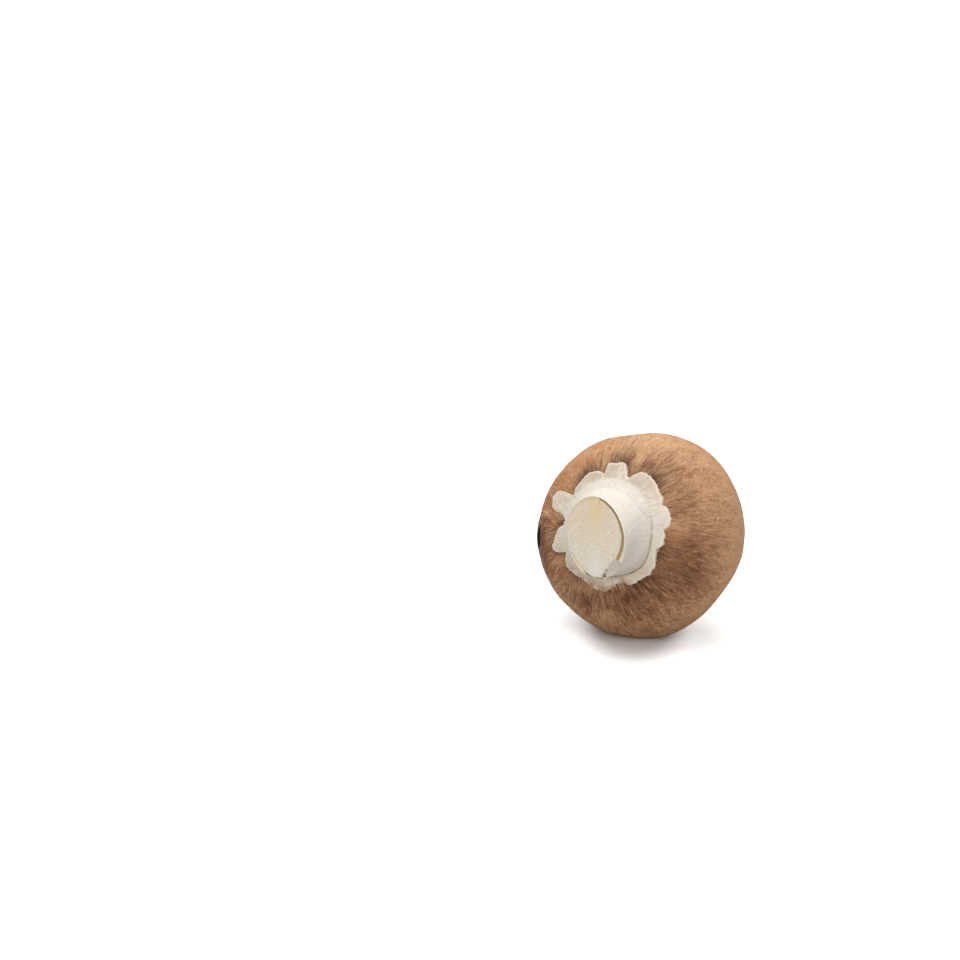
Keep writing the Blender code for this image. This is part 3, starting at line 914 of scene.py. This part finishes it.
stemForm = {  # millimetres and degrees; shares of the way from the cut's middle
    "columns": 440, "flankRows": 90, "faceRows": 66, "lipRows": 12, "lipShare": 0.09,
    "flankCrowding": 1.1, "lipCrowding": 1.3, "threadRadius": 12,
    "ridges": [(0.05, (0.9, 0.9, 8.0), 71), (0.018, (0.45, 0.45, 4.0), 72)],  # height, size, seed
    "ridgesFrom": (1.2, 4.0),  # how far from the root they set in
    "bow": 0.15,  # how far the cut bows out in its middle
    "knife": (0.03, (0.7, 6, 6), 73), "knifeWay": (0.35, 1.0, 0.0), "knifeFrom": 0.1,  # its drag marks
    "lines": [  # groove, ochre, pale, warm and broken shares of each dried line,
        (0.07, 1, 1, 0, 0, [  # then its round, share, half width, ochre and dark
            # the darker stretch of this line, from 272° to 322°, is partly painted shade in the crevice
            # inside the rim, over a thin dried line
            (272, 0.975, 0.02, 0.5, 0.4), (284, 0.965, 0.024, 0.7, 0.6), (296, 0.95, 0.028, 0.8, 0.65),
            (322, 0.945, 0.034, 1, 0.45), (343, 0.94, 0.046, 1, 0.25), (357, 0.922, 0.054, 1, 0.12),
            (8, 0.888, 0.056, 1, 0.08), (24, 0.85, 0.054, 1, 0.08), (32, 0.832, 0.048, 1, 0.12)]),
        (0.04, 0.3, 0, 1.3, 0, [  # soft, on the far side
            (112, 0.955, 0.014, 0.3, 0.2), (124, 0.915, 0.016, 0.6, 0.12), (140, 0.935, 0.018, 0.75, 0.1),
            (160, 0.965, 0.015, 0.5, 0.08), (185, 0.98, 0.012, 0.35, 0), (215, 0.97, 0.022, 0.35, 0),
            (240, 0.955, 0.05, 0.55, 0), (262, 0.95, 0.06, 0.65, 0), (276, 0.96, 0.04, 0.5, 0)]),
        (0.08, 1, 0.8, 0, 1, [  # brown and broken, at the pointed end
            (57, 0.82, 0.02, 0.3, 0.2), (66, 0.895, 0.028, 0.9, 0.4), (74, 0.94, 0.028, 0.9, 0.45),
            (84, 0.965, 0.024, 0.9, 0.3), (96, 0.975, 0.022, 0.9, 0.3), (108, 0.965, 0.026, 0.9, 0.45),
            (118, 0.94, 0.018, 0.5, 0.2)]),
    ],
    "nicks": [  # round, share, half length, half width, depth, darkness
        (110, 0.985, 0.5, 0.3, 0.4, 0.9), (100, 1, 1.1, 0.16, 0.12, 0.5),
        (80, 0.985, 0.55, 0.26, 0.35, 0.9), (73, 0.95, 0.6, 0.24, 0.3, 0.8),
        (65, 0.88, 0.55, 0.24, 0.25, 0.6), (277.5, 0.915, 0.1, 0.55, 0.2, 0.95),
    ],
    "tints": [  # round, share, size, warm, cool
        (92, 0.72, 3.6, 0, 0.9), (274, 0.7, 4.8, 1, 0), (228, 0.8, 3, 0.5, 0), (10, 0.3, 3.4, 0.15, 0),
    ],
    "chip": [  # round, share where it starts, depth at the rim
        (28, 0.81, 0), (36, 0.785, 1), (50, 0.785, 1.5), (62, 0.845, 1.3), (72, 0.9, 0.7), (80, 0.97, 0),
    ],
    "chipSlope": 0.7, "chipFade": (0.5, 0.03), "cutRim": 0.012,  # where the shade and the cut's look set in
    "rimLip": (0.03, 0.04, 0.03),  # height, more where it is pale, width
    "broken": (0.7, 75, -0.7, 0.2), "nickRough": (0.35, 74, -0.75, 0.1),  # size, seed, limits
    "nickDark": (0.15, 0.7), "linesFade": (0.3, 1.3),
    "lineStart": 6, "lineStop": 3, "paleStop": (-6, 12), "paleFrom": (0.3, 1.3),
    "speck": (346, 1.5, 0.2, 0.85),  # round, along, radius, darkness
    # the second of these is painted shade on the flank beside the crease
    "rootLines": (348, 40, 2.2, 0.35), "rootShade": (52, 32, 1.7, 0.9),  # round, spread, reach, strength
    # darkness of the painted shade over the broken chip, so that it reads as shaded flank
    "chipShade": 0.55,
}
cutNormal = unit(np.array(form["cutNormal"]))
stemMiddle = np.array((*form["lean"], form["rootLevel"] - form["stemReach"]))  # of the cut face


def stemRadius(angle, along):
    # waist plus what the root has over it, fading with the distance from the root
    flare = np.exp(-along * form["stemReach"] / form["flareLength"])
    return form["waistRadius"] + (rootRadius(angle) - form["waistRadius"]) * flare


def stemPoint(angle, along, lift=0.0):
    # a ring round a straight, leaning middle line, pushed out by a distance
    lean = np.array((*form["lean"], -form["stemReach"]))
    return polar(stemRadius(angle, along) + lift, angle, form["rootLevel"]) + lean * along[..., None]


def alongAtCut(angle):
    # how far down the stem each side meets the plane of the cut, by repeated substitution
    nx, ny, nz = form["cutNormal"]
    slope = nx * form["lean"][0] + ny * form["lean"][1] - nz * form["stemReach"]
    along = np.ones(np.shape(angle))
    for repeat in range(12):
        along = 1 - stemRadius(angle, along) * sideways(angle, (nx, ny)) / slope
    return along


def lineAlong(angle, share, rows):
    # bell curve across a line on the cut face, whose place, width and two strengths are given round it;
    # it starts softly at its first row and stops sooner at its last
    rows = np.array(rows, dtype=float)
    stops = (rows[:, 0] - rows[0, 0]) % 360
    turn = (np.degrees(angle) - rows[0, 0]) % 360
    place, width, ochre, dark = [np.interp(turn, stops, rows[:, column]) for column in (1, 2, 3, 4)]
    start = ease(turn, 0, stemForm["lineStart"])
    line = start * (1 - ease(turn, stops[-1] - stemForm["lineStop"], stops[-1]))
    line = line * bell(share - place, width, 3)
    outside = ease((share - place) / width, *stemForm["paleFrom"])
    low, high = stemForm["paleStop"]
    return line, ochre, dark, start * (1 - ease(turn, stops[-1] + low, stops[-1] + high)) * outside


def chipAt(angle):
    # where the broken stretch of the cut's rim starts, as a share of the way out, and how deep it is there
    turn, start, depth = np.array(stemForm["chip"]).T
    flat = np.degrees(angle) % 360
    return np.interp(flat, turn, start), np.interp(flat, turn, depth, left=0, right=0)


def cutFace(angle, out, face, ray):
    # height over the plane of the cut, and the strengths of its colours: a chip, a bow, knife marks,
    # the dried lines, then nicks and tints, which are bell curves round their middles, and the painted shade
    # over the chip
    look = stemForm
    angle, share = np.broadcast_arrays(angle, out)
    start, chip = chipAt(angle)
    sloping = np.clip((share - start) / (1 - start), 0, 1) ** look["chipSlope"]
    height = chip * -cutNormal[2] * (share - sloping)  # the inner face stays flat, the rest slopes
    drag = face @ unit(np.array(look["knifeWay"]))
    marks = waves(np.stack((drag, face[..., 2], face[..., 0]), axis=-1), [look["knife"]])
    height = height + look["bow"] * (1 - out ** 2) + marks * ease(1 - out, 0, look["knifeFrom"])
    ochre, bark, pale, warm, cool = np.zeros((5, *share.shape))
    for groove, ochreShare, paleShare, warmShare, brokenShare, rows in look["lines"]:
        line, ochreOf, darkOf, outside = lineAlong(angle, share, rows)
        line = line * (1 - brokenShare * (1 - patches(face, *look["broken"])))
        height = height - groove * line
        ochre = ochre + ochreShare * line * ochreOf
        bark = np.maximum(bark, line * darkOf)
        pale = np.maximum(pale, paleShare * outside)
        warm = np.maximum(warm, warmShare * line * ochreOf)
    lip, more, width = look["rimLip"]
    height = height + (lip + more * pale) * bell(1 - out, width)
    reach = np.linalg.norm(ray, axis=-1)
    for roundDeg, shareOut, halfLength, halfWidth, depth, dark in look["nicks"]:
        aside = away(angle, radians(roundDeg)) * reach * shareOut
        nick = bell(aside, halfLength) * bell((share - shareOut) * reach, halfWidth)
        nick = nick * patches(face, *look["nickRough"])
        height = height - depth * nick
        bark = np.maximum(bark, dark * ease(nick, *look["nickDark"]))
    for roundDeg, shareOut, size, warmer, cooler in look["tints"]:
        spot = stemMiddle + ray[round(roundDeg / 360 * look["columns"])] * shareOut
        near = bell(np.linalg.norm(face - spot, axis=-1), size)
        warm, cool = np.maximum(warm, warmer * near), np.maximum(cool, cooler * near)
    deep, wide = look["chipFade"]
    # painted shade over the chip, where the cut's own look gives way
    dusk = look["chipShade"] * ease(chip, 0, deep) * ease(share - start, 0, wide)
    cut = ease(1 - out, 0, look["cutRim"]) * (dusk == 0)
    return height, {"cut": cut, "ochre": np.clip(ochre, 0, 1), "bark": bark, "pale": pale, "warm": warm,
                    "cool": cool, "dusk": dusk}


def makeStem(material):
    # plug and neck in the cap's seat, the flank down to the cut, and the cut face from rim to middle
    look = stemForm
    columns = look["columns"]
    angle = ringAngles(columns)
    neckLevel = form["rootLevel"] + form["plugNeck"]
    plugLevel = neckLevel + form["plugDepth"]
    plugRing = polar(rootRadius(angle) - form["plugTaper"], angle, plugLevel)
    neckRing = polar(rootRadius(angle), angle, neckLevel)
    share = np.linspace(0, 1, look["flankRows"])[:, None] ** look["flankCrowding"]
    along = (alongAtCut(angle) - chipAt(angle)[1] / form["stemReach"]) * share
    below = along * form["stemReach"]
    place = fleshPlace(angle, -below)
    flank = stemPoint(angle, along, waves(place, look["ridges"]) * ease(below, *look["ridgesFrom"]))

    ray = flank[-1] - stemMiddle
    lip = look["lipShare"]
    out = np.concatenate((1 - lip * np.linspace(0, 1, look["lipRows"]) ** look["lipCrowding"],
                          np.linspace(1 - lip, 0, look["faceRows"] + 1)[1:-1]))[1:, None]
    face = stemMiddle + ray * out[..., None]
    height, masks = cutFace(angle, out, face, ray)
    face = face + cutNormal * height[..., None]
    tips = np.array(((0, 0, plugLevel), face[-1].mean(axis=0)))
    rings = np.concatenate(([plugRing, neckRing], flank, face))

    speckRound, speckAlong, speckSize, speckDark = look["speck"]
    aside = away(angle, radians(speckRound)) * stemRadius(angle, along)
    speck = speckDark * bell(aside, speckSize) * bell((along - speckAlong) * form["stemReach"], speckSize)
    middleRound, spread, reach, strength = look["rootLines"]
    lined = strength * roundBell(angle, middleRound, spread) * (1 - ease(below / reach, *look["linesFade"]))
    # painted shade on the flank beside the crease
    middleRound, spread, reach, strength = look["rootShade"]
    dusk = strength * roundBell(angle, middleRound, spread) * bell(below, reach)

    threads = np.concatenate((place[:2], place, face / 2))
    fields = {"fibre": np.concatenate((threads.reshape(-1, 3), tips / 2))}
    onFlank = {"bark": speck, "lined": lined, "dusk": dusk}
    for label in {**masks, **onFlank}:
        values = np.zeros(rings.shape[:2])
        values[2:2 + len(flank)] = onFlank.get(label, 0)
        values[2 + len(flank):] = masks.get(label, 0)
        fields[label] = np.append(values, (0, label == "cut"))
    points = np.concatenate((rings.reshape(-1, 3), tips))
    faces = tubeFaces(len(rings), columns)
    makePiece("stem_flesh", points, faces, fields, material, ["stem"])


# Flap of skin curled into the veil, and frayed ends of the veil

flapForm = {
    "rows": 60, "columns": 28, "soften": 7, "ribs": (0.2, (0.34, 2.2, 1), 81),
    "between": 5.0, "shift": 7.0, "sunk": 0.2, "arch": 0.6,  # where each fold's ribs start; its section
    "folds": [  # each from end to end: radius, round, half width, height, tone
        [(19.6, 189.2, 0.15, 0.1, -1.2), (18.4, 187.2, 0.8, 0.3, -0.9), (16.8, 185.6, 1.2, 0.42, -0.5),
         (15.2, 184.4, 1.1, 0.45, -0.3), (14.2, 182.4, 0.2, 0.25, -0.3)],
        [(18.4, 195.2, 0.25, 0.1, -0.5), (16.2, 195, 1, 0.45, -0.3), (14.2, 193.5, 1.4, 0.65, 0),
         (12.8, 192.3, 1.3, 0.8, 0.2), (11.4, 191.2, 0.85, 1.05, 0.1), (9.9, 189.6, 0.08, 1.45, -0.2)],
        # the tones along this fold rise and fall as painted highlights on its crest
        [(22.2, 191, 0.15, 0.05, -0.3), (21, 191.8, 0.6, 0.35, 0.1), (19.2, 192.4, 0.75, 0.55, 0.5),
         (17.6, 192.2, 0.65, 0.6, -0.2), (16.2, 191.2, 0.65, 0.7, 0.4), (14.9, 189.6, 0.7, 0.75, -0.1),
         (14, 186.8, 0.6, 0.65, -0.2), (13.8, 184, 0.4, 0.45, -0.5), (13.9, 182, 0.1, 0.15, -0.8)],
        [(16.8, 189.4, 0.15, 0.22, 0.2), (17.9, 187.2, 0.5, 0.3, 0.6), (18.7, 184.2, 0.5, 0.24, 0.4),
         (19.2, 181, 0.38, 0.16, 0.1), (19.7, 177.9, 0.05, 0.05, -0.3)],
        [(21.4, 195, 0.12, 0.05, 0), (20, 194.6, 0.5, 0.26, 0.5), (18.2, 193.9, 0.55, 0.36, 0.1),
         (16.4, 193.4, 0.1, 0.3, -0.2)],
    ],
}


def softened(values, count):
    # running mean over a count of neighbours
    return np.convolve(np.pad(values, count // 2, mode="edge"), np.full(count, 1 / count), "valid")


def makeFlap(material):
    # tubes with a lens-shaped section along lines on the skin: the top is arched, with ribs, and the
    # underside lies in the skin
    look = flapForm
    rows, columns = look["rows"], look["columns"]
    section = ringAngles(columns)[None, :]
    rise = np.abs(np.sin(section)) ** look["arch"]
    height, size, seed = look["ribs"]
    allPoints, allFaces, allEnds = [], [], []
    for number, stops in enumerate(look["folds"]):
        share = np.linspace(0, len(stops) - 1, rows + 2)
        line = [np.interp(share, np.arange(len(stops)), values) for values in zip(*stops)]
        radius, middleRound, half, top, tone = [softened(values, look["soften"])[:, None] for values in line]
        middleRound = np.radians(middleRound)
        outward, aside = np.gradient(radius, axis=0), np.gradient(middleRound, axis=0) * radius
        step = np.hypot(outward, aside)
        across = np.cos(section) * half
        wide, angle = radius - across * aside / step, middleRound + across * outward / step / radius
        place = np.broadcast_arrays(across, np.cumsum(step)[:, None], number * look["between"])
        ribs = height * cloud(np.stack(place, axis=-1) / np.array(size) + look["shift"], seed)
        lift = np.where(np.sin(section) > 0, (top + ribs) * rise, -look["sunk"] * rise)
        angle, down, tone = np.broadcast_arrays(angle, downAtRadius(angle, wide), tone)
        points = capPoint(angle, down, lift)
        points = np.concatenate((points[1:-1].reshape(-1, 3), points[(0, -1), :].mean(axis=1)))
        faces = tubeFaces(rows, columns)
        if signedVolume(points, faces) < 0:
            faces = [part[:, ::-1] for part in faces]
        allFaces += [part + number * len(points) for part in faces]
        allPoints.append(points)
        allEnds.append([np.append(values[1:-1], values[(0, -1), 0]) for values in (angle, down, tone)])
    fields = skinFields(*[np.concatenate(values) for values in zip(*allEnds)])
    fields["slit"] = np.full(len(fields["slit"]), capForm["cleftFar"])  # clear of the gap beside it
    makePiece("skin_flap", np.concatenate(allPoints), allFaces, fields, material)


veilFray = {
    "count": 1300, "rings": 4, "place": (-0.5, -0.12), "length": (0.25, 0.75), "shortness": 1.6,
    "width": (0.18, 0.46), "height": (0.02, 0.07), "spread": 48, "bend": 60,
    "stain": (0.2, 1.0), "rim": (0.3, 1.0), "longer": (0.8, 0.6),  # length where clean, more where soiled
    "soiled": [(99, 0.85, 34), (135, 0.7, 16), (221, 0.5, 6), (266, 0.5, 6), (25, 0.5, 8), (180, 0.6, 10)],
}


def makeVeilFray(material):
    # short torn threads all round the veil's edge, longer and browner where the edge is soiled
    look = veilFray
    draw = np.random.default_rng(10)
    angle = draw.random(look["count"]) * 2 * pi
    down = downAtRadius(angle, veilEdge(angle) + between(draw, *look["place"], look["count"]))
    soiled = shareRound(angle, look["soiled"])
    length, width, height = drawSize(draw, look)
    heading = drawHeading(draw, look)
    soil = {key: between(draw, *look[key], look["count"]) for key in ("stain", "rim")}
    soil["stain"] *= soiled
    least, more = look["longer"]
    size = (length * (least + more * soiled), width, height)
    makeFibres("veil_fray", material, "cream_veil", (angle, down), size, heading, 0 * angle, extra=soil,
               rings=look["rings"])


# Veil

def fleshPlace(angle, reach):
    # a place where threads run along the third number: a circle round the stem, and the way outwards
    return polar(stemForm["threadRadius"], angle, reach)


def weldShare(angle):
    # 1 where the stem flows into the veil, 0 along the crease between them
    apart = np.abs(away(angle, radians(veilForm["creaseMiddle"])))
    half = radians(veilForm["creaseHalf"])
    return ease(apart, half, half + radians(veilForm["creaseFade"]))


def veilReach(angle):
    # how far up the stem the veil climbs, as a share of the stem: less where the cut comes low
    return np.minimum(veilForm["sweep"] / form["stemReach"], veilForm["sweepShare"] * alongAtCut(angle))


def flankLift(angle, radius):
    # height of the stem's leaning, flared side over the plain skin, at a distance from the cap's axis,
    # found by halving the part of the stem in which it lies
    low, high = np.full(radius.shape, veilForm["lowest"]), np.broadcast_to(veilReach(angle), radius.shape)
    for halving in range(14):
        along = (low + high) / 2
        wider = stemRadius(angle, along) + sideways(angle, form["lean"]) * along > radius
        low, high = np.where(wider, along, low), np.where(wider, high, along)
    skinLevel = capPoint(angle, downAtRadius(angle, radius))[..., 2]
    return skinLevel - form["rootLevel"] + along * form["stemReach"]


def veilTop(angle, radius, edge):
    # height of the veil over the plain skin: thinner outwards, a little puffed in its middle and rolled
    # up at its edge, and blended into the stem's side by a smooth maximum, or parted from it by a crease
    look = veilForm
    root = rootRadius(angle)
    share = np.clip((radius - root) / (edge - root), 0, 1)
    place = polar(look["meanRadius"], angle, radius)
    thin = look["edgeLift"] + waves(place, look["edgeUneven"])
    lift = look["rootLift"] + (thin - look["rootLift"]) * share ** look["thinning"]
    lift = lift + look["puff"] * np.sin(pi * share)
    lift = lift + look["roll"] * bell(edge - radius - look["rollFrom"], look["rollWidth"])
    lift = lift + waves(place, look["threads"]) * ease(radius - root, *look["threadsFrom"])
    weld = weldShare(angle)
    blend = look["leastBlend"] + look["blend"] * weld
    flank = flankLift(angle, radius) + look["flankClear"]
    near = np.maximum(blend - np.abs(lift - flank), 0) / blend
    joined = np.maximum(lift, flank) + near ** 2 * blend / 4
    broken = look["creaseBase"] + waves(place, look["creaseBroken"])
    crease = look["creaseDepth"] * shareRound(angle, look["creaseShade"]) * broken
    lift = lift - crease * bell(radius - root - look["creasePlace"], look["creaseWidth"])
    return lift + (joined - lift) * weld


def makeVeil(material):
    # a ring-shaped skin: its top from the stem out to the edge, the rounded lip, and the way back
    # under it, sunk in the cap's skin
    look = veilForm
    angle = ringAngles(look["columns"])[None, :]
    weld = weldShare(angle)
    top = veilReach(angle)
    welded = stemRadius(angle, top) + sideways(angle, form["lean"]) * top
    inner = (rootRadius(angle) - look["tuck"]) * (1 - weld) + welded * weld
    edge = veilEdge(angle)
    wide = edge - look["lip"] - inner
    radius = inner + wide * np.linspace(0, 1, look["topRows"])[:, None] ** look["crowding"]
    lift = veilTop(angle, radius, edge)
    depth, width = look["hide"]
    radius = radius - depth * (1 - ease(radius - inner, 0, width))
    arc = np.linspace(0, pi / 2, look["lipRows"] + 1)[1:, None]
    lipLift = -look["sink"] + (lift[-1:] + look["sink"]) * np.cos(arc)
    back = inner + wide * np.linspace(1, 0, look["baseRows"])[:, None]
    radius = np.concatenate((radius, edge - look["lip"] + look["lip"] * np.sin(arc), back))
    lift = np.concatenate((lift, lipLift, np.full(back.shape, -look["sink"])))
    angle = np.broadcast_to(angle, radius.shape)
    down = downAtRadius(angle, radius)
    fromEdge = edge - radius
    fromRoot = radius - rootRadius(angle)
    outward = ease(fromRoot, *look["upright"])[..., None]
    upward = unit(capNormal(angle, down) * outward - np.array((0, 0, 1)) * (1 - outward))
    points = capPoint(angle, down) + upward * lift[..., None]

    # painted shade in the crease beside the stem, broken into dots, and a greyer veil inside the lobes
    crease = (1 - weldShare(angle)) * bell(fromRoot - look["shadePlace"], look["shadeWidth"])
    dusky = ease(fromEdge, *look["duskyFromEdge"]) * ease(fromRoot, *look["duskyFromRoot"])
    dusky = shareRound(angle, look["dusky"]) * dusky
    dots = (1 + patches(points, *look["shadeDots"])) / 2
    shade = look["creaseDark"] * shareRound(angle, look["creaseShade"])
    patchy = patches(points, *look["stainPatches"]) * bell(fromEdge, look["stainReach"])
    white = weldShare(angle) * (1 - ease(fromRoot, *look["whiteToRoot"]))
    fields = {
        "fibre": fleshPlace(angle, fromRoot - np.maximum(lift - look["rootLift"], 0)),
        "rim": bell(fromEdge, look["rimWidth"]),
        "stain": shareRound(angle, look["soiled"]) * np.maximum(patchy, bell(fromEdge, look["stainRim"])),
        "greyerAndCreaseShade": np.clip(look["creaseShadeShare"] * crease + dusky, 0, 1),
        "white": np.maximum(white, shareRound(angle, look["bright"])),
        "crease": np.clip(shade * crease * dots, 0, 1),
    }
    faces = [wrapFaces(len(radius), look["columns"], closeRows=True)]
    makePiece("veil_membrane", points.reshape(-1, 3), faces, fields, material, ["veil"])


# Floor, light and camera

studio = {
    "floorSize": 8.0, "floorDrop": 0.02 * mm, "floorColour": 0.9, "floorBounce": 0.55,
    "floorGlow": 0.45, "glowShape": (11 * mm, 22 * mm), "glowReach": (0.6, 1.3),  # painted light: the floor glows paler away from the object, which keeps its shadow tight
    "shader": {"Emission Strength": 1.0, "Roughness": 0.9, "Specular IOR Level": 0.0},
    "skyStrength": 0.46,
    "suns": {  # strength, spread, lean about X and Y
        "keyLight": (2.0, 60, (-8, -6)), "fillLight": (0.85, 60, (58, 14)),
    },
    "lens": 100, "sensor": 36, "imageSize": 960, "elevation": 18,
    "capPixel": (640, 533.7),  # where the cap's middle stands in the picture
    "pixelsPerMm": 206 / 48,  # scale there
}


def makeFloor():
    # paler to the eye than it lights, and painted light: it glows a little away from the object
    half, level = studio["floorSize"] / 2, -studio["floorDrop"]
    corners = [(x * half, y * half, level) for x, y in ((-1, -1), (1, -1), (1, 1), (-1, 1))]
    mesh = bpy.data.meshes.new("floor")
    mesh.from_pydata(corners, [], [(0, 1, 2, 3)])
    material, tree = newMaterial("paleFloor", studio)
    inputs = tree.nodes["Principled BSDF"].inputs
    seen = Value(addNode(tree, "ShaderNodeLightPath").outputs["Is Camera Ray"])
    bounce, bright, glow = [(studio[key],) * 3 for key in ("floorBounce", "floorColour", "floorGlow")]
    give(inputs["Base Color"], mixColour(tree, seen, bounce, bright))
    wide, deep = studio["glowShape"]
    place = addNode(tree, "ShaderNodeTexCoord").outputs["Object"]
    place = vectorNode(tree, "MULTIPLY", place, (1 / wide, 1 / deep, 0))
    distance = Value(addNode(tree, "ShaderNodeVectorMath", {0: place}, operation="LENGTH").outputs["Value"])
    share = seen * distance.eased(*studio["glowReach"])
    give(inputs["Emission Color"], mixColour(tree, share, (0.0,) * 3, glow))
    mesh.materials.append(material)
    floor = addObject("floor", mesh)


def makeLight():
    # an even white sky and wide suns
    world = bpy.data.worlds.new("studio")
    bpy.context.scene.world = world
    world.use_nodes = True
    back = world.node_tree.nodes["Background"]
    back.inputs["Color"].default_value = (1.0, 1.0, 1.0, 1.0)
    back.inputs["Strength"].default_value = studio["skyStrength"]
    for name, (strength, width, lean) in studio["suns"].items():
        sun = bpy.data.lights.new(name, "SUN")
        sun.energy = strength
        sun.angle = radians(width)
        addObject(name, sun).rotation_euler = [radians(degrees) for degrees in (*lean, 0)]


def makeCamera():
    # the sight line to the cap's middle comes down at the elevation along +Y, and the camera is
    # turned so that this line passes through the cap's pixel
    focal = studio["imageSize"] * studio["lens"] / studio["sensor"]
    across, downward = (np.array(studio["capPixel"]) - studio["imageSize"] / 2) / focal
    ray = np.array((across, -downward, -1.0))
    distance = focal / studio["pixelsPerMm"] * mm * np.linalg.norm(ray)
    back = -unit(ray)
    right = unit(np.array((1.0, 0.0, 0.0)) - back * back[0])
    sightInCamera = np.stack((right, np.cross(back, right), back), axis=1)
    lift = radians(studio["elevation"])
    sightInWorld = np.array(((1, 0, 0), (0, np.sin(lift), -np.cos(lift)), (0, np.cos(lift), np.sin(lift))))
    camera = bpy.data.cameras.new("camera")
    camera.lens = studio["lens"]
    camera.sensor_width = studio["sensor"]
    camera.clip_start = 0.01
    holder = addObject("camera", camera)
    turn = Matrix((sightInWorld @ sightInCamera.T).tolist())
    holder.matrix_world = Matrix.Translation(middle + sightInWorld[:, 2] * distance) @ turn.to_4x4()
    bpy.context.scene.camera = holder
    bpy.context.scene.view_settings.view_transform = "Standard"


makeFloor()
makeLight()
makeCamera()
print("floor, light and camera ready")

skin = skinMaterial()
makeCap(skin)
makeMarginFibres(skin)
makeDomeFibres(skin)
makeCurls(skin)
makeFlap(skin)
cream = veilMaterial()
makeVeil(cream)
makeVeilFray(cream)
makeStem(stemMaterial())

print("all pieces made")
